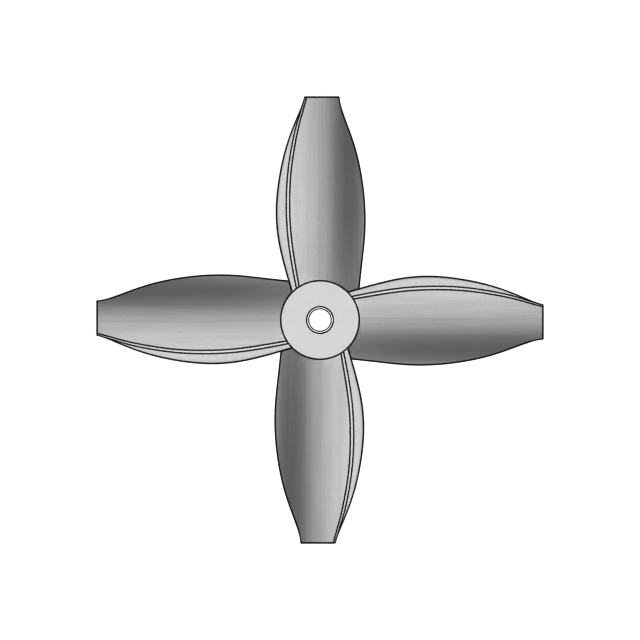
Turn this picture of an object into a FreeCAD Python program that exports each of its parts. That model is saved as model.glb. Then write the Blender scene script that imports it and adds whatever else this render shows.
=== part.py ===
import FreeCAD, Part
import math
import os

# Four-blade laminated wooden propeller on a flanged axle sleeve.
# Z is the axle, +Z points to the front; the origin is on the axle at the sleeve's rear face.
# The first blade lies along +Y, with its leading edge towards -X and the front.

# ---- driving dimensions, millimetres ----
TIP_RADIUS = 101.6
HUB_RADIUS = 18.1
HUB_EDGE_BREAK = 0.4
BLADE_COUNT = 4
FASTENER_COUNT = 4

BORE_RADIUS = 5.0
SLEEVE_RADIUS = 6.0
RUNNING_CLEARANCE = 0.05
SLEEVE_CHAMFER = 0.2
END_PLAY = 0.2
FLANGE_RADIUS = 9.0
FLANGE_THICKNESS = 1.0
FLANGE_SIDE_GAP = 0.2
FLANGE_FACE_GAP = 0.05

LAYER_COUNT = 6
LAYER_THICKNESS = 7.2
PLANK_HALF_WIDTH = 20.9
PLATE_THICKNESS = 1.5

FASTENER_CIRCLE_RADIUS = 13.5
DOWEL_RADIUS = 1.5
SCREW_SHANK_RADIUS = 1.5
SCREW_HEAD_RADIUS = 2.8
SCREW_HEAD_DEPTH = 1.3
SCREW_LENGTH = 12.0
SCREW_POINT_LENGTH = 3.0
SCREW_ANGLE = 45.0
RECESS_WIDTH = 0.8
RECESS_SPAN = 2.8
RECESS_DEPTH = 0.9

# ---- heights along the axle ----
HUB_REAR = END_PLAY
WOOD_REAR = HUB_REAR + PLATE_THICKNESS
WOOD_FRONT = WOOD_REAR + LAYER_COUNT * LAYER_THICKNESS
HUB_FRONT = WOOD_FRONT + PLATE_THICKNESS
SLEEVE_LENGTH = HUB_FRONT + END_PLAY
HUB_BORE_RADIUS = SLEEVE_RADIUS + RUNNING_CLEARANCE

# ---- blade shape ----
# The front face has one profile for the whole blade: across the blade, height.
FACE_PROFILE = [
    (-16.0, 45.15), (-12.0, 43.8), (-8.0, 42.1), (-4.0, 40.0), (0.0, 37.3),
    (4.0, 33.75), (8.0, 28.55), (12.0, 21.25), (16.0, 13.0), (21.0, 5.0),
]
# Stations along the blade: radius, leading edge, front and back line of the inlay strip,
# trailing edge (distances to either side of the blade's axis) and greatest thickness.
STATIONS = [
    (0.0, 9.3, 7.7, 6.4, 16.6, 7.6),
    (13.0, 13.0, 10.4, 9.1, 17.8, 7.4),
    (26.0, 16.7, 12.9, 11.4, 19.2, 7.0),
    (39.0, 19.4, 14.7, 13.2, 20.5, 6.4),
    (52.0, 20.0, 15.3, 13.8, 20.5, 5.9),
    (65.0, 18.6, 14.8, 13.4, 19.05, 5.3),
    (78.0, 15.7, 13.0, 11.7, 16.15, 4.6),
    (90.0, 11.4, 10.3, 9.2, 12.0, 3.9),
    (96.0, 8.9, 8.4, 7.5, 9.9, 3.5),
    (TIP_RADIUS, 7.05, 6.7, 6.0, 8.8, 3.1),
]
# Thickness along the chord, as parts of the greatest one: at the inlay, rise and fall.
THICKNESS_AT_INLAY = 0.82
THICKNESS_RISE = 0.75
THICKNESS_FALL = 1.30
GUARD_THICKNESS = 0.78
# Film of glue between guard, inlay and wood.
GLUE_LINE = 0.02
# The guard's rounded section: part of its width forward of the joint, part of its depth down.
GUARD_SECTION = [(0.0, 0.0), (0.5, 0.015), (0.88, 0.09), (1.0, 0.4), (0.88, 0.78), (0.5, 0.96), (0.0, 1.0)]
CHORD_STEPS = 8
SECTION_COUNT = 18

# ---- working values ----
# How far a cutting shape runs past what it cuts.
OVERSHOOT = 1.0
# Two heights closer than this are the same.
SAME_HEIGHT = 0.01
HALVINGS = 50


def spline(points):
    """An edge through the points, with evenly spaced parameters so that stations loft cleanly."""
    vectors = [FreeCAD.Vector(*point) for point in points]
    curve = Part.BSplineCurve()
    curve.interpolate(Points=vectors, Parameters=[float(step) for step in range(len(vectors))])
    return curve.toShape()


def line(start, end):
    return Part.makeLine(FreeCAD.Vector(*start), FreeCAD.Vector(*end))


def cylinder(radius, low, high):
    return Part.makeCylinder(radius, high - low, FreeCAD.Vector(0, 0, low))


def box(x_low, x_high, y_low, y_high, z_low, z_high):
    corner = FreeCAD.Vector(x_low, y_low, z_low)
    return Part.makeBox(x_high - x_low, y_high - y_low, z_high - z_low, corner)


def turned(shape, degrees):
    """A copy of the shape turned about the axle."""
    copy = shape.copy()
    copy.rotate(FreeCAD.Vector(0, 0, 0), FreeCAD.Vector(0, 0, 1), degrees)
    return copy


def smooth_curve(table):
    """A smooth curve through (place, value) pairs, held in the XZ plane."""
    curve = Part.BSplineCurve()
    curve.interpolate([FreeCAD.Vector(place, 0, value) for place, value in table])
    return curve


def parameter_at(curve, place):
    """The curve's parameter where its X reaches a place."""
    low = curve.FirstParameter
    high = curve.LastParameter
    for _ in range(HALVINGS):
        middle = (low + high) / 2
        if curve.value(middle).x < place:
            low = middle
        else:
            high = middle
    return low


FACE_CURVE = smooth_curve(FACE_PROFILE)
STATION_CURVES = [smooth_curve([(row[0], row[column]) for row in STATIONS]) for column in range(1, 6)]


def face_point(across):
    """The front face's height and slope angle at a distance across the blade."""
    place = parameter_at(FACE_CURVE, across)
    tangent = FACE_CURVE.tangent(place)[0]
    return FACE_CURVE.value(place).z, math.atan2(abs(tangent.z), abs(tangent.x))


def station_values(radius):
    """Leading edge, inlay front, inlay back, trailing edge and thickness at one radius."""
    return [curve.value(parameter_at(curve, radius)).z for curve in STATION_CURVES]


def thickness_share(chord_part):
    """Blade thickness at a part of the chord, as a share of the greatest."""
    return THICKNESS_AT_INLAY + THICKNESS_RISE * chord_part - THICKNESS_FALL * chord_part ** 2


def blade_sections(radius):
    """Closed wires of the guard, the inlay strip and the wood below its front face at one radius."""
    leading, joint, inlay_back, trailing, thickness = station_values(radius)
    strip_height, slope = face_point(-inlay_back)
    inlay_depth = thickness_share(0.0) * thickness / math.cos(slope)
    guard_depth = GUARD_THICKNESS * thickness

    # the guard, a D-shaped section in front of the joint
    guard_points = []
    for forward, down in GUARD_SECTION:
        across = -joint - GLUE_LINE - forward * (leading - joint - GLUE_LINE)
        guard_points.append((across, radius, strip_height - down * guard_depth))
    guard = Part.Wire([spline(guard_points), line(guard_points[-1], guard_points[0])])

    # the inlay, a narrow flat-topped strip
    front_top = (-joint, radius, strip_height)
    front_bottom = (-joint, radius, strip_height - guard_depth)
    back_top = (-inlay_back - GLUE_LINE, radius, strip_height)
    back_bottom = (-inlay_back - GLUE_LINE, radius, strip_height - inlay_depth)
    inlay = Part.makePolygon([FreeCAD.Vector(*corner) for corner in
                              (front_top, back_top, back_bottom, front_bottom, front_top)])

    # the wood from the inlay to the blunt trailing edge, left square above its front face
    rear = []
    for step in range(CHORD_STEPS + 1):
        chord_part = step / CHORD_STEPS
        across = -inlay_back + chord_part * (trailing + inlay_back)
        height, slope = face_point(across)
        depth = thickness_share(chord_part) * thickness / math.cos(slope)
        rear.append((across, radius, height - depth))
    inlay_side = (-inlay_back, radius, WOOD_FRONT)
    trailing_side = (trailing, radius, WOOD_FRONT)
    wood = Part.Wire([spline(rear), line(rear[-1], trailing_side), line(trailing_side, inlay_side),
                      line(inlay_side, rear[0])])
    return guard, inlay, wood


def space_below_face():
    """Everything behind the blade's front face, which runs straight along the blade."""
    first = (FACE_PROFILE[0][0], 0, 0)
    last = (FACE_PROFILE[-1][0], 0, 0)
    face_edge = FACE_CURVE.toShape()
    start = FACE_CURVE.value(FACE_CURVE.FirstParameter)
    end = FACE_CURVE.value(FACE_CURVE.LastParameter)
    wire = Part.Wire([face_edge, line(end, last), line(last, first), line(first, start)])
    space = Part.Face(wire).extrude(FreeCAD.Vector(0, TIP_RADIUS + 2 * OVERSHOOT, 0))
    space.translate(FreeCAD.Vector(0, -OVERSHOOT, 0))
    return space


def blade_bodies():
    """The guard, inlay and wood of the first blade, from the axle to the tip."""
    radii = [TIP_RADIUS * index / (SECTION_COUNT - 1) for index in range(SECTION_COUNT)]
    sections = [blade_sections(radius) for radius in radii]
    guard, inlay, wood = [Part.makeLoft(list(wires), True, False) for wires in zip(*sections)]
    return guard, inlay, wood.common(space_below_face())


def on_circle(shape, first_angle):
    """Evenly spaced copies of the shape on the fastener circle."""
    shape = shape.copy()
    shape.translate(FreeCAD.Vector(FASTENER_CIRCLE_RADIUS, 0, 0))
    spacing = 360 / FASTENER_COUNT
    return [turned(shape, first_angle + spacing * index) for index in range(FASTENER_COUNT)]


def dowel():
    return cylinder(DOWEL_RADIUS, WOOD_REAR, WOOD_FRONT)


def screw():
    """A countersunk wood screw with a cross recess, its head flush with the hub's rear."""
    head_end = HUB_REAR + SCREW_HEAD_DEPTH
    point_start = HUB_REAR + SCREW_LENGTH - SCREW_POINT_LENGTH
    outline = [
        (0.0, HUB_REAR), (SCREW_HEAD_RADIUS, HUB_REAR), (SCREW_SHANK_RADIUS, head_end),
        (SCREW_SHANK_RADIUS, point_start), (0.0, HUB_REAR + SCREW_LENGTH), (0.0, HUB_REAR),
    ]
    profile = Part.makePolygon([FreeCAD.Vector(x, 0, z) for x, z in outline])
    return Part.Face(profile).revolve(FreeCAD.Vector(0, 0, 0), FreeCAD.Vector(0, 0, 1), 360)


def recessed(body):
    """The screw with its cross recess cut."""
    half_width = RECESS_WIDTH / 2
    half_span = RECESS_SPAN / 2
    low = HUB_REAR - OVERSHOOT
    depth = HUB_REAR + RECESS_DEPTH
    slot = box(-half_span, half_span, -half_width, half_width, low, depth)
    cross = box(-half_width, half_width, -half_span, half_span, low, depth)
    return body.cut(slot).cut(cross)


def axle_sleeve():
    """A flanged sleeve: the flange is at the rear, a small chamfer at the front mouth."""
    sleeve = cylinder(SLEEVE_RADIUS, 0, SLEEVE_LENGTH)
    sleeve = sleeve.fuse(cylinder(FLANGE_RADIUS, 0, FLANGE_THICKNESS)).removeSplitter()
    bore = cylinder(BORE_RADIUS, 0, SLEEVE_LENGTH)
    mouth = Part.makeCone(BORE_RADIUS, BORE_RADIUS + SLEEVE_CHAMFER, SLEEVE_CHAMFER,
                          FreeCAD.Vector(0, 0, SLEEVE_LENGTH - SLEEVE_CHAMFER))
    return sleeve.cut(bore).cut(mouth)


def hub_plate(low, broken_edge_height):
    """A round plate with the running bore and one broken outer edge."""
    plate = cylinder(HUB_RADIUS, low, low + PLATE_THICKNESS)
    rim = [edge for edge in plate.Edges if abs(edge.BoundBox.ZMax - broken_edge_height) < SAME_HEIGHT
           and edge.BoundBox.ZLength < SAME_HEIGHT]
    plate = plate.makeFillet(HUB_EDGE_BREAK, rim)
    return plate.cut(cylinder(HUB_BORE_RADIUS, low, low + PLATE_THICKNESS))


def rear_hub_plate(screws):
    plate = hub_plate(HUB_REAR, HUB_REAR)
    flange_recess = cylinder(FLANGE_RADIUS + FLANGE_SIDE_GAP, 0, FLANGE_THICKNESS + FLANGE_FACE_GAP)
    plate = plate.cut(flange_recess)
    return plate.cut(screws)


def wood_body(blades, holes):
    """Hub and blades in one, before they are parted into planks."""
    hub = cylinder(HUB_RADIUS, WOOD_REAR, WOOD_FRONT)
    body = hub.fuse(blades)
    return body.cut([cylinder(HUB_BORE_RADIUS, WOOD_REAR, WOOD_FRONT)] + holes)


def planks(body):
    """The through plank and the two short planks of every layer."""
    pieces = {}
    reach = TIP_RADIUS + OVERSHOOT
    width = PLANK_HALF_WIDTH
    for layer in range(LAYER_COUNT):
        low = WOOD_REAR + layer * LAYER_THICKNESS
        high = low + LAYER_THICKNESS
        if layer % 2:
            through = box(-reach, reach, -width, width, low, high)
            short_a = box(-width, width, width, reach, low, high)
            short_b = box(-width, width, -reach, -width, low, high)
        else:
            through = box(-width, width, -reach, reach, low, high)
            short_a = box(width, reach, -width, width, low, high)
            short_b = box(-reach, -width, -width, width, low, high)
        name = "layer_%d_" % (layer + 1)
        pieces[name + "through_plank"] = body.common(through)
        pieces[name + "short_plank_a"] = body.common(short_a)
        pieces[name + "short_plank_b"] = body.common(short_b)
    return pieces


def save(node, shape):
    solids = shape.Solids
    whole = solids[0] if len(solids) == 1 else Part.makeCompound(solids)
    whole.exportStep("parts/%s.step" % node)
    limits = whole.optimalBoundingBox(False)
    print("%-26s solids %d valid %s volume %9.2f z %.2f..%.2f" % (
        node, len(solids), whole.isValid(), whole.Volume, limits.ZMin, limits.ZMax))


def build():
    os.makedirs("parts", exist_ok=True)
    guard, inlay, wood = blade_bodies()
    hub_space = cylinder(HUB_RADIUS, WOOD_REAR, WOOD_FRONT)
    guard = guard.cut(hub_space)
    inlay = inlay.cut(hub_space)
    dowels = on_circle(dowel(), 0)
    screws = on_circle(screw(), SCREW_ANGLE)

    save("axle_sleeve", axle_sleeve())
    save("front_hub_plate", hub_plate(WOOD_FRONT, HUB_FRONT))
    save("rear_hub_plate", rear_hub_plate(screws))
    turns = [-360 * index / BLADE_COUNT for index in range(BLADE_COUNT)]
    for index, degrees in enumerate(turns):
        save("leading_edge_guard_%d" % (index + 1), turned(guard, degrees))
        save("edge_inlay_%d" % (index + 1), turned(inlay, degrees))
    body = wood_body([turned(wood, degrees) for degrees in turns], dowels + screws)
    for name, plank in planks(body).items():
        save(name, plank)
    save("hub_dowels", Part.makeCompound(dowels))
    save("rear_plate_screws", Part.makeCompound(on_circle(recessed(screw()), SCREW_ANGLE)))


build()
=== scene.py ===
"""Looks of the four-blade laminated propeller: grey stained wood, dark sealed edges, satin hub."""

import math

import bpy
import numpy as np
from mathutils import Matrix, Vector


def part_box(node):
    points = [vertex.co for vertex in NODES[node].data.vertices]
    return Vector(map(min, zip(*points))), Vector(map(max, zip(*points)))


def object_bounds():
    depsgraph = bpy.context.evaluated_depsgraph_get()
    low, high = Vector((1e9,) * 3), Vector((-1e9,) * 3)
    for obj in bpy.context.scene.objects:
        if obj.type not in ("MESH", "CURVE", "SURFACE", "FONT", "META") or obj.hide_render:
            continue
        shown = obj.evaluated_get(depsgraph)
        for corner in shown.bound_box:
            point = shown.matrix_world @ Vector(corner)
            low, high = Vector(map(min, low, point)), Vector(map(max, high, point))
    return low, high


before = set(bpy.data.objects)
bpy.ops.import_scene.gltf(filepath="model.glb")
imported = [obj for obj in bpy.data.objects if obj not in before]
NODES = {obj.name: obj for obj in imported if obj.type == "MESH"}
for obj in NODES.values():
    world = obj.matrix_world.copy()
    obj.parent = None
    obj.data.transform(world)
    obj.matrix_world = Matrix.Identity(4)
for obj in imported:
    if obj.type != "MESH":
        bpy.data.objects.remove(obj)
cad_low, cad_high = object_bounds()

# ---- places read from the frame, metres ----
TIP_RADIUS = cad_high.x
HUB_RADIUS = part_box("front_hub_plate")[1].x
HUB_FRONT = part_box("front_hub_plate")[1].z
WOOD_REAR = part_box("rear_hub_plate")[1].z
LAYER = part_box("layer_1_through_plank")[1].z - WOOD_REAR
PLANK_HALF_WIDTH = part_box("layer_1_through_plank")[1].x

# ---- the sleeve, metres ----
SLEEVE_RADIUS = 0.006
BORE_RADIUS = 0.005
SLEEVE_FRONT_END = HUB_FRONT - 0.0005

# ---- widths of the dark lines, metres ----
OUTLINE = 0.00062
JOINT_LINE = 0.00034
INLAY_LINE = 0.00030
RIM_LINE = 0.00060
SLEEVE_LINE = 0.00030
MOUTH_LINE = 0.00038
GLUE_LINE = 0.00010
# a line is full up to the first part of its width and gone at the second
LINE_SOFT_END = (0.7, 1.1)
PLATE_BORE_SOFT_END = (0.9, 1.3)
MOUTH_SOFT_END = (0.8, 1.2)
SLEEVE_SOFT_END = (0.6, 1.0)

# a surface that faces the front or rear by less than this is an edge and keeps its own colour
EDGE_FACING = 0.08

# ---- colours, scene linear ----
STAIN = (0.515, 0.515, 0.511)
STAIN_DEEP = (0.485, 0.485, 0.480)
GLUE = (0.30, 0.29, 0.28)
GUARD_STAIN = (0.473, 0.473, 0.470)
INLAY_PALE = (0.466, 0.466, 0.461)
SEALER = (0.008, 0.008, 0.008)
PLATE_PAINT = (0.460, 0.460, 0.460)
STEEL = (0.50, 0.50, 0.50)
FLOOR = (0.20, 0.20, 0.20)
WHITE = (1.0, 1.0, 1.0)
BLACK = (0.0, 0.0, 0.0)
# the darker parts of a surface, as shares of its colour
GUARD_DARK = 0.94
INLAY_DARK = 0.95
PLATE_DARK = 0.97
STEEL_DARK = 0.9

# ---- finishes ----
VARNISH = 0.35
WOOD_ROUGHNESS = (0.60, 0.68)
INLAY_ROUGHNESS = (0.52, 0.60)
PAINT_ROUGHNESS = (0.56, 0.62)
STEEL_ROUGHNESS = (0.58, 0.66)
DOWEL_ROUGHNESS = 0.6
STEEL_METALLIC = 0.6

# ---- grain and texture: noise scales, per metre ----
GROWTH_SCALE = 420.0
FIBRE_SCALE = 2600.0
PORE_SCALE = 3800.0
CLOUD_SCALE = 30.0
GUARD_FIBRE_SCALE = 1800.0
INLAY_FIBRE_SCALE = 2200.0
DOWEL_FIBRE_SCALE = 2400.0
PEEL_SCALE = 1500.0
PAINT_CLOUD_SCALE = 60.0
TURNING_SCALE = 900.0
RING_FREQUENCY = 40000.0
# a noise drawn out along an axis has that axis scaled down
ALONG_GRAIN = 0.05
EDGE_GRAIN = (0.3, 0.3, 1.0)
DOWEL_GRAIN = (1.0, 1.0, ALONG_GRAIN)
TURNING_GRAIN = (1.0, 1.0, 6.0)
# the greatest random shift of a plank's grain, which makes the planks differ
GRAIN_SHIFT = 7.0
# most of a noise's values lie between these
NOISE_RANGE = (0.3, 0.7)
TURNING_RANGE = (0.2, 0.9)
# a pore is where the noise is higher than this
PORE_RANGE = (0.66, 0.74)
# shares of the three noises in a plank's tone, and the strength of what lies over it
GROWTH_SHARE = 0.55
FIBRE_SHARE = 0.25
CLOUD_SHARE = 0.20
PORE_STRENGTH = 0.18
GLUE_STRENGTH = 0.3
FIBRE_RELIEF = 0.6
RING_RELIEF = 0.2
# bump depths, metres
WOOD_RELIEF_DEPTH = 0.00004
GUARD_RELIEF_DEPTH = 0.00003
FINE_RELIEF_DEPTH = 0.00002
TURNING_RELIEF_DEPTH = 0.00001
SOFT_BUMP = 0.5


# ---------------------------------------------------------------- node helpers
class Nodes:
    """A material's node tree with short calls for the nodes used here."""

    def __init__(self, name):
        self.material = bpy.data.materials.new(name)
        self.material.use_nodes = True
        self.tree = self.material.node_tree
        self.shader = self.tree.nodes["Principled BSDF"]

    def add(self, kind, **settings):
        """A new node with its settings."""
        node = self.tree.nodes.new(kind)
        for key, value in settings.items():
            setattr(node, key, value)
        return node

    def feed(self, socket, value):
        """Link a node's output to the socket, or set the socket to a constant."""
        if isinstance(value, bpy.types.NodeSocket):
            self.tree.links.new(value, socket)
        else:
            socket.default_value = value

    def math(self, operation, *values):
        """The result of one arithmetic step."""
        node = self.add("ShaderNodeMath", operation=operation)
        for socket, value in zip(node.inputs, values):
            self.feed(socket, value)
        return node.outputs[0]

    def ramp(self, value, low, high, start=0.0, end=1.0):
        """Value mapped smoothly from low..high to start..end, held at both ends."""
        node = self.add("ShaderNodeMapRange", interpolation_type="SMOOTHSTEP")
        for socket, number in zip(node.inputs, (value, low, high, start, end)):
            self.feed(socket, number)
        return node.outputs[0]

    def mix(self, share, first, second):
        """Colour between first and second."""
        node = self.add("ShaderNodeMix", data_type="RGBA")
        self.feed(node.inputs["Factor"], share)
        for socket, colour in zip((node.inputs[6], node.inputs[7]), (first, second)):
            self.feed(socket, colour if isinstance(colour, bpy.types.NodeSocket) else (*colour, 1.0))
        return node.outputs[2]

    def noise(self, vector, scale, detail=3.0, roughness=0.5):
        """Smooth noise from 0 to 1."""
        node = self.add("ShaderNodeTexNoise")
        self.feed(node.inputs["Vector"], vector)
        self.feed(node.inputs["Scale"], scale)
        self.feed(node.inputs["Detail"], detail)
        self.feed(node.inputs["Roughness"], roughness)
        return node.outputs["Fac"]

    def place(self):
        """Position in the object's own frame, and its three parts."""
        position = self.add("ShaderNodeTexCoord").outputs["Object"]
        parts = self.add("ShaderNodeSeparateXYZ")
        self.feed(parts.inputs[0], position)
        return position, parts.outputs[0], parts.outputs[1], parts.outputs[2]

    def facing_front(self):
        """How far the surface faces the front, from -1 to 1, in the object's own frame."""
        parts = self.add("ShaderNodeSeparateXYZ")
        self.feed(parts.inputs[0], self.add("ShaderNodeTexCoord").outputs["Normal"])
        return parts.outputs[2]

    def stretched(self, position, scales, shift=(0.0, 0.0, 0.0)):
        """The position scaled along each axis and then shifted."""
        node = self.add("ShaderNodeVectorMath", operation="MULTIPLY_ADD")
        for socket, value in zip(node.inputs, (position, scales, shift)):
            self.feed(socket, value)
        return node.outputs[0]

    def curve(self, value, points):
        """A smooth curve through (input, output) points, both within 0..1."""
        node = self.add("ShaderNodeFloatCurve")
        line = node.mapping.curves[0]
        while len(line.points) < len(points):
            line.points.new(0.5, 0.5)
        for point, (x, y) in zip(line.points, points):
            point.location = (x, y)
            point.handle_type = "AUTO"
        node.mapping.update()
        self.feed(node.inputs["Value"], value)
        return node.outputs[0]

    def bump(self, height, distance, strength=1.0):
        """Raise the surface by a height, shallowly enough to be only a texture."""
        node = self.add("ShaderNodeBump")
        self.feed(node.inputs["Height"], height)
        node.inputs["Distance"].default_value = distance
        node.inputs["Strength"].default_value = strength
        self.feed(self.shader.inputs["Normal"], node.outputs[0])

    def colour(self, value):
        self.feed(self.shader.inputs["Base Color"], value)

    def roughness(self, value, value_range, roughness_range):
        """Roughness that follows a noise."""
        self.feed(self.shader.inputs["Roughness"], self.ramp(value, *value_range, *roughness_range))

    def constant(self, **settings):
        """Shader inputs that are the same all over the surface."""
        for key, value in settings.items():
            self.shader.inputs[key.replace("_", " ")].default_value = value


# ---------------------------------------------------------------- blade outline, read from the frame
# the curves hold radius and distance across as parts of these, metres
CURVE_REACH = 0.11
CURVE_WIDTH = 0.03
CURVE_STEPS = 14
# an outline is read from one gap past where it starts to another short of the tip, metres
TIP_GAP = 0.0002
ROOT_GAP = 0.0005
PLANK_GAP = 0.0001
# a plank that reaches past this is one of the first blade's, metres
FIRST_BLADE_REACH = 0.03
# where a blade is clear of its neighbours' planks, metres
CLEAR_REACH = PLANK_HALF_WIDTH + 0.001
# nearer the axle than that, the trailing line shows only at the rear and off the axle itself,
# and the line beside the inlay only at the front
OFF_AXLE = HUB_RADIUS * 0.25
REAR_PART = HUB_FRONT * 0.4
FRONT_PART = HUB_FRONT * 0.6


def crossings(names, radius):
    """Distances across the first blade where edges of the named nodes cross one radius."""
    found = []
    for name in names:
        mesh = NODES[name].data
        points = np.empty(len(mesh.vertices) * 3, np.float32)
        mesh.vertices.foreach_get("co", points)
        points = points.reshape(-1, 3)
        ends = np.empty(len(mesh.edges) * 2, np.int32)
        mesh.edges.foreach_get("vertices", ends)
        start, end = points[ends.reshape(-1, 2)[:, 0]], points[ends.reshape(-1, 2)[:, 1]]
        hit = (start[:, 1] - radius) * (end[:, 1] - radius) < 0
        share = (radius - start[hit, 1]) / (end[hit, 1] - start[hit, 1])
        found.append(start[hit, 0] + share * (end[hit, 0] - start[hit, 0]))
    return np.concatenate(found)


def outline(names, side, start):
    """Curve points of the blade's outline on one side, from a starting radius to the tip."""
    points = []
    for step in range(CURVE_STEPS):
        radius = start + (TIP_RADIUS - TIP_GAP - start) * step / (CURVE_STEPS - 1)
        across = side * crossings(names, radius)
        points.append((radius / CURVE_REACH, float(across.max()) / CURVE_WIDTH))
    return points


LAYER_NAMES = [name for name in NODES if name.startswith("layer_")]
BLADE_1_WOOD = [name for name in LAYER_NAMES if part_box(name)[1].y > FIRST_BLADE_REACH]
TRAILING = outline(BLADE_1_WOOD, 1, HUB_RADIUS)
LEADING = outline(["leading_edge_guard_1"], -1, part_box("leading_edge_guard_1")[0].y + ROOT_GAP)
JOINT = outline(["edge_inlay_1"], -1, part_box("edge_inlay_1")[0].y + ROOT_GAP)
# starting past the sides of the neighbouring blades' planks keeps those out of the curve
INLAY_BACK = outline(BLADE_1_WOOD, -1, PLANK_HALF_WIDTH + PLANK_GAP)


def blade_frames(n, x, y):
    """(across, along) for the blades on Y and for the blades on X."""
    along_y = n.math("ABSOLUTE", y)
    along_x = n.math("ABSOLUTE", x)
    across_y = n.math("MULTIPLY", x, n.math("SIGN", y))
    across_x = n.math("MULTIPLY", n.math("MULTIPLY", y, n.math("SIGN", x)), -1.0)
    return (across_y, along_y), (across_x, along_x)


def line_mask(n, across, along, points, width, side):
    """1 near an outline of the blade, falling to 0 at a width from it."""
    share = n.curve(n.math("DIVIDE", along, CURVE_REACH), points)
    edge = n.math("MULTIPLY", share, CURVE_WIDTH)
    distance = n.math("ABSOLUTE", n.math("SUBTRACT", edge, n.math("MULTIPLY", across, float(side))))
    return n.ramp(distance, width * LINE_SOFT_END[0], width * LINE_SOFT_END[1], 1.0, 0.0)


def line_within(n, radius, edge, width, soft_end):
    """1 at an edge, falling to 0 at a width nearer the axle."""
    return n.ramp(radius, edge - width * soft_end[1], edge - width * soft_end[0])


def line_around(n, radius, edge, width, soft_end):
    """1 at an edge, falling to 0 at a width further from the axle."""
    return n.ramp(radius, edge + width * soft_end[0], edge + width * soft_end[1], 1.0, 0.0)


def either(n, *masks):
    """The strongest of several masks."""
    total = masks[0]
    for mask in masks[1:]:
        total = n.math("MAXIMUM", total, mask)
    return total


def tip_mask(n, frames):
    """1 along the square ends of the blades."""
    along = either(n, frames[0][1], frames[1][1])
    return line_within(n, along, TIP_RADIUS, OUTLINE, LINE_SOFT_END)


def edge_lines(n, x, y, lines):
    """The tip line, and lines along the leading side of every blade, as one mask."""
    frames = blade_frames(n, x, y)
    masks = [tip_mask(n, frames)]
    for across, along in frames:
        for points, width in lines:
            masks.append(line_mask(n, across, along, points, width, -1))
    return either(n, *masks)


def off_edges(n):
    """1 where the surface faces the front or the rear, 0 on upright edges."""
    return n.math("GREATER_THAN", n.math("ABSOLUTE", n.facing_front()), EDGE_FACING)


def darker(colour, share):
    """A colour scaled down to a share of itself."""
    return tuple(part * share for part in colour)


# ---------------------------------------------------------------- materials
def wood(name, grain_axis):
    """Grey stained plank: growth lines and pores along one axis, dark sealed outline."""
    n = Nodes(name)
    position, x, y, z = n.place()
    chance = n.add("ShaderNodeObjectInfo").outputs["Random"]
    shift = n.add("ShaderNodeCombineXYZ")
    for socket in shift.inputs:
        n.feed(socket, n.math("MULTIPLY", chance, GRAIN_SHIFT))
    scales = (ALONG_GRAIN, 1.0, 1.0) if grain_axis == "X" else (1.0, ALONG_GRAIN, 1.0)
    grain_place = n.stretched(position, scales, shift.outputs[0])

    growth = n.noise(grain_place, GROWTH_SCALE, detail=2.0, roughness=0.4)
    fibres = n.noise(grain_place, FIBRE_SCALE, detail=4.0, roughness=0.6)
    cloud = n.noise(position, CLOUD_SCALE, detail=2.0)
    tone = n.math("ADD", n.math("MULTIPLY", growth, GROWTH_SHARE), n.math("MULTIPLY", fibres, FIBRE_SHARE))
    tone = n.math("ADD", tone, n.math("MULTIPLY", cloud, CLOUD_SHARE))
    stain = n.mix(n.ramp(tone, *NOISE_RANGE), STAIN_DEEP, STAIN)
    pores = n.ramp(n.noise(grain_place, PORE_SCALE, detail=2.0), *PORE_RANGE)
    stain = n.mix(n.math("MULTIPLY", pores, PORE_STRENGTH), stain, SEALER)
    stain = n.mix(glue_mask(n, z), stain, GLUE)

    sealed = n.math("MULTIPLY", plank_lines(n, x, y, z), off_edges(n))
    n.colour(n.mix(sealed, stain, SEALER))
    n.roughness(fibres, NOISE_RANGE, WOOD_ROUGHNESS)
    n.constant(Specular_IOR_Level=VARNISH)
    n.bump(n.math("ADD", n.math("MULTIPLY", fibres, FIBRE_RELIEF), growth), WOOD_RELIEF_DEPTH)
    return n.material


def glue_mask(n, z):
    """Faint lines where the layers meet."""
    layer_edge = n.math("PINGPONG", n.math("SUBTRACT", z, WOOD_REAR), LAYER)
    layer_edge = n.math("MINIMUM", layer_edge, n.math("SUBTRACT", LAYER, layer_edge))
    return n.ramp(layer_edge, GLUE_LINE * 0.5, GLUE_LINE, GLUE_STRENGTH, 0.0)


def plank_lines(n, x, y, z):
    """The tip line, the trailing outline and the line beside the inlay."""
    frames = blade_frames(n, x, y)
    masks = [tip_mask(n, frames)]
    for across, along in frames:
        clear = n.math("GREATER_THAN", along, CLEAR_REACH)
        off_axle = n.math("GREATER_THAN", along, OFF_AXLE)
        rear_root = n.math("MULTIPLY", off_axle, n.math("LESS_THAN", z, REAR_PART))
        rear = n.math("MAXIMUM", clear, rear_root)
        front = n.math("MAXIMUM", clear, n.math("GREATER_THAN", z, FRONT_PART))
        trailing = line_mask(n, across, along, TRAILING, OUTLINE, 1)
        beside_inlay = line_mask(n, across, along, INLAY_BACK, JOINT_LINE, -1)
        masks.append(n.math("MULTIPLY", trailing, rear))
        masks.append(n.math("MULTIPLY", beside_inlay, front))
    return either(n, *masks)


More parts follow.
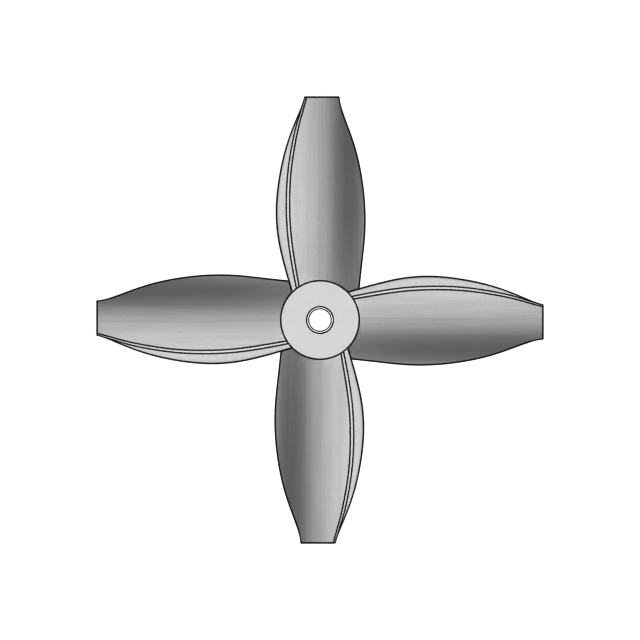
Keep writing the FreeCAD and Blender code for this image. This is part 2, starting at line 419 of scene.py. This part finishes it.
def guard(name):
    """Light stained hardwood guard, with dark lines at its outer edge and its joint."""
    n = Nodes(name)
    position, x, y, _ = n.place()
    fibres = n.noise(n.stretched(position, EDGE_GRAIN), GUARD_FIBRE_SCALE, detail=4.0, roughness=0.6)
    stain = n.mix(n.ramp(fibres, *NOISE_RANGE), darker(GUARD_STAIN, GUARD_DARK), GUARD_STAIN)
    front_half = n.math("GREATER_THAN", n.facing_front(), 0.0)
    lines = edge_lines(n, x, y, [(LEADING, OUTLINE), (JOINT, JOINT_LINE)])
    n.colour(n.mix(n.math("MULTIPLY", lines, front_half), stain, SEALER))
    n.roughness(fibres, NOISE_RANGE, WOOD_ROUGHNESS)
    n.constant(Specular_IOR_Level=VARNISH)
    n.bump(fibres, GUARD_RELIEF_DEPTH)
    return n.material


def inlay(name):
    """Pale hardwood stringing with a dark line on both sides."""
    n = Nodes(name)
    position, x, y, _ = n.place()
    fibres = n.noise(n.stretched(position, EDGE_GRAIN), INLAY_FIBRE_SCALE, detail=3.0, roughness=0.6)
    pale = n.mix(n.ramp(fibres, *NOISE_RANGE), darker(INLAY_PALE, INLAY_DARK), INLAY_PALE)
    lines = edge_lines(n, x, y, [(JOINT, INLAY_LINE), (INLAY_BACK, INLAY_LINE)])
    n.colour(n.mix(lines, pale, SEALER))
    n.roughness(fibres, NOISE_RANGE, INLAY_ROUGHNESS)
    n.constant(Specular_IOR_Level=VARNISH)
    n.bump(fibres, FINE_RELIEF_DEPTH)
    return n.material


def from_axle(n, x, y):
    """Distance from the axle."""
    squares = n.math("ADD", n.math("MULTIPLY", x, x), n.math("MULTIPLY", y, y))
    return n.math("SQRT", squares)


def plate(name):
    """Satin painted plate, dark at the rim and round the bore."""
    n = Nodes(name)
    position, x, y, _ = n.place()
    radius = from_axle(n, x, y)
    peel = n.noise(position, PEEL_SCALE, detail=2.0)
    cloud = n.noise(position, PAINT_CLOUD_SCALE, detail=3.0)
    paint = n.mix(cloud, darker(PLATE_PAINT, PLATE_DARK), PLATE_PAINT)
    rim = line_within(n, radius, HUB_RADIUS, RIM_LINE, LINE_SOFT_END)
    bore = line_around(n, radius, SLEEVE_RADIUS, SLEEVE_LINE, PLATE_BORE_SOFT_END)
    n.colour(n.mix(n.math("MULTIPLY", either(n, rim, bore), off_edges(n)), paint, SEALER))
    n.roughness(peel, NOISE_RANGE, PAINT_ROUGHNESS)
    n.constant(Specular_IOR_Level=VARNISH)
    n.bump(peel, FINE_RELIEF_DEPTH, SOFT_BUMP)
    return n.material


def turned_steel(name, on_sleeve):
    """Turned metal. On the sleeve it has fine rings, and dark lines round its front end."""
    n = Nodes(name)
    position, x, y, z = n.place()
    radius = from_axle(n, x, y)
    turning = n.noise(n.stretched(position, TURNING_GRAIN), TURNING_SCALE, detail=2.0)
    if on_sleeve:
        waves = n.math("SINE", n.math("MULTIPLY", radius, RING_FREQUENCY))
        turning = n.math("ADD", n.math("MULTIPLY", waves, RING_RELIEF), turning)
    steel = n.mix(n.ramp(turning, *TURNING_RANGE), darker(STEEL, STEEL_DARK), STEEL)
    if on_sleeve:
        mouth = line_around(n, radius, BORE_RADIUS, MOUTH_LINE, MOUTH_SOFT_END)
        outer = line_within(n, radius, SLEEVE_RADIUS, SLEEVE_LINE, SLEEVE_SOFT_END)
        front = n.math("GREATER_THAN", z, SLEEVE_FRONT_END)
        steel = n.mix(n.math("MULTIPLY", either(n, mouth, outer), front), steel, SEALER)
    n.colour(steel)
    n.roughness(turning, TURNING_RANGE, STEEL_ROUGHNESS)
    n.constant(Metallic=STEEL_METALLIC)
    n.bump(turning, TURNING_RELIEF_DEPTH, SOFT_BUMP)
    return n.material


def plain_dowel(name):
    """Plain hardwood dowel, hidden between the plates."""
    n = Nodes(name)
    position = n.place()[0]
    fibres = n.noise(n.stretched(position, DOWEL_GRAIN), DOWEL_FIBRE_SCALE, detail=3.0)
    n.colour(n.mix(fibres, STAIN_DEEP, STAIN))
    n.constant(Roughness=DOWEL_ROUGHNESS)
    n.bump(fibres, FINE_RELIEF_DEPTH)
    return n.material


# ---------------------------------------------------------------- finishes onto the pieces
def finish_pieces():
    """Give every piece its finish. A slot name is picked for each piece but not used."""
    wood_on = {"X": wood("wood_grain_x", "X"), "Y": wood("wood_grain_y", "Y")}
    guard_finish = guard("guard_hardwood")
    inlay_finish = inlay("inlay_hardwood")
    plate_finish = plate("plate_paint")
    sleeve_finish = turned_steel("sleeve_steel", True)
    screw_finish = turned_steel("screw_steel", False)
    dowel_finish = plain_dowel("dowel_hardwood")
    for name, piece in NODES.items():
        if name.startswith("layer_"):
            low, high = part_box(name)
            finish = wood_on["X" if high.x - low.x > high.y - low.y else "Y"]
            slot = "blade_wood"
        elif name.startswith("leading_edge_guard"):
            finish, slot = guard_finish, "edge_guard"
        elif name.startswith("edge_inlay"):
            finish, slot = inlay_finish, "edge_inlay"
        elif name.endswith("hub_plate"):
            finish, slot = plate_finish, "hub_plate"
        elif name == "axle_sleeve":
            finish, slot = sleeve_finish, "sleeve_metal"
        elif name == "rear_plate_screws":
            finish, slot = screw_finish, "screw_metal"
        else:
            finish, slot = dowel_finish, "dowel_wood"
        for material_slot in piece.material_slots:
            material_slot.material = finish


# ---------------------------------------------------------------- studio
CAMERA_HEIGHT = 1.0
CAMERA_REACH = 10.0
# the picture is this many times as wide as the propeller
VIEW_MARGIN = 1.431767
VIEW_WIDTH = TIP_RADIUS * 2 * VIEW_MARGIN
FLOOR_SIZE = 12.0
FLOOR_GLOW = 0.70
BACKDROP_RADIUS = 5.0
BACKDROP_GLOW = 1.0
OVERHEAD = 5.2
OVERHEAD_SPREAD = 2
UNDER_FILL = 1.7
UNDER_FILL_SPREAD = 12
UNDER_FILL_COUNT = 4
UNDER_ELEVATION = math.radians(56)
QUARTER_TURN = math.pi / 2
AMBIENT = 0.03
CONTRAST_GAMMA = 0.42


def only_seen(stage_piece):
    """A piece of the stage that the camera sees, and that neither lights nor shades the object."""
    stage_piece.visible_diffuse = False
    stage_piece.visible_glossy = False
    stage_piece.visible_shadow = False


def floor_material():
    """Pale matt floor that glows enough to look even."""
    n = Nodes("studio_floor")
    n.constant(Base_Color=(*FLOOR, 1.0), Roughness=1.0, Specular_IOR_Level=0.0)
    n.constant(Emission_Color=(*WHITE, 1.0), Emission_Strength=FLOOR_GLOW)
    return n.material


def backdrop_material():
    """Plain white surroundings."""
    n = Nodes("backdrop_white")
    n.constant(Base_Color=(*BLACK, 1.0), Emission_Color=(*WHITE, 1.0), Emission_Strength=BACKDROP_GLOW)
    return n.material


def sun(name, strength, spread, tilt, turn):
    """A sun whose light comes from a tilt off the vertical, turned about the axle."""
    light = bpy.data.lights.new(name, "SUN")
    light.energy = strength
    light.angle = math.radians(spread)
    lamp = bpy.data.objects.new(name, light)
    lamp.rotation_euler = (tilt, 0.0, turn)
    bpy.context.scene.collection.objects.link(lamp)


def studio():
    """White room: one light from above, and weak ones from below for the sides and the rear."""
    bpy.ops.mesh.primitive_plane_add(size=FLOOR_SIZE, location=(0, 0, cad_low.z))
    floor = bpy.context.object
    floor.name = "floor"
    floor.data.materials.append(floor_material())
    only_seen(floor)

    bpy.ops.mesh.primitive_uv_sphere_add(segments=48, ring_count=24, radius=BACKDROP_RADIUS)
    backdrop = bpy.context.object
    backdrop.name = "backdrop"
    backdrop.data.materials.append(backdrop_material())
    only_seen(backdrop)

    sun("overhead", OVERHEAD, OVERHEAD_SPREAD, 0.0, 0.0)
    for side in range(UNDER_FILL_COUNT):
        turn = QUARTER_TURN / 2 + QUARTER_TURN * side
        sun("under_fill_%d" % side, UNDER_FILL, UNDER_FILL_SPREAD, QUARTER_TURN + UNDER_ELEVATION, turn)

    world = bpy.data.worlds.new("studio")
    world.use_nodes = True
    background = world.node_tree.nodes["Background"]
    background.inputs["Color"].default_value = (*WHITE, 1.0)
    background.inputs["Strength"].default_value = AMBIENT
    bpy.context.scene.world = world


def camera():
    """Straight down the axle with parallel rays."""
    lens = bpy.data.cameras.new("camera")
    lens.type = "ORTHO"
    lens.ortho_scale = VIEW_WIDTH
    lens.clip_end = CAMERA_REACH
    eye = bpy.data.objects.new("camera", lens)
    eye.location = (0, 0, CAMERA_HEIGHT)
    bpy.context.scene.collection.objects.link(eye)
    bpy.context.scene.camera = eye


finish_pieces()
studio()
camera()
bpy.context.scene.view_settings.view_transform = "Standard"
bpy.context.scene.view_settings.gamma = CONTRAST_GAMMA
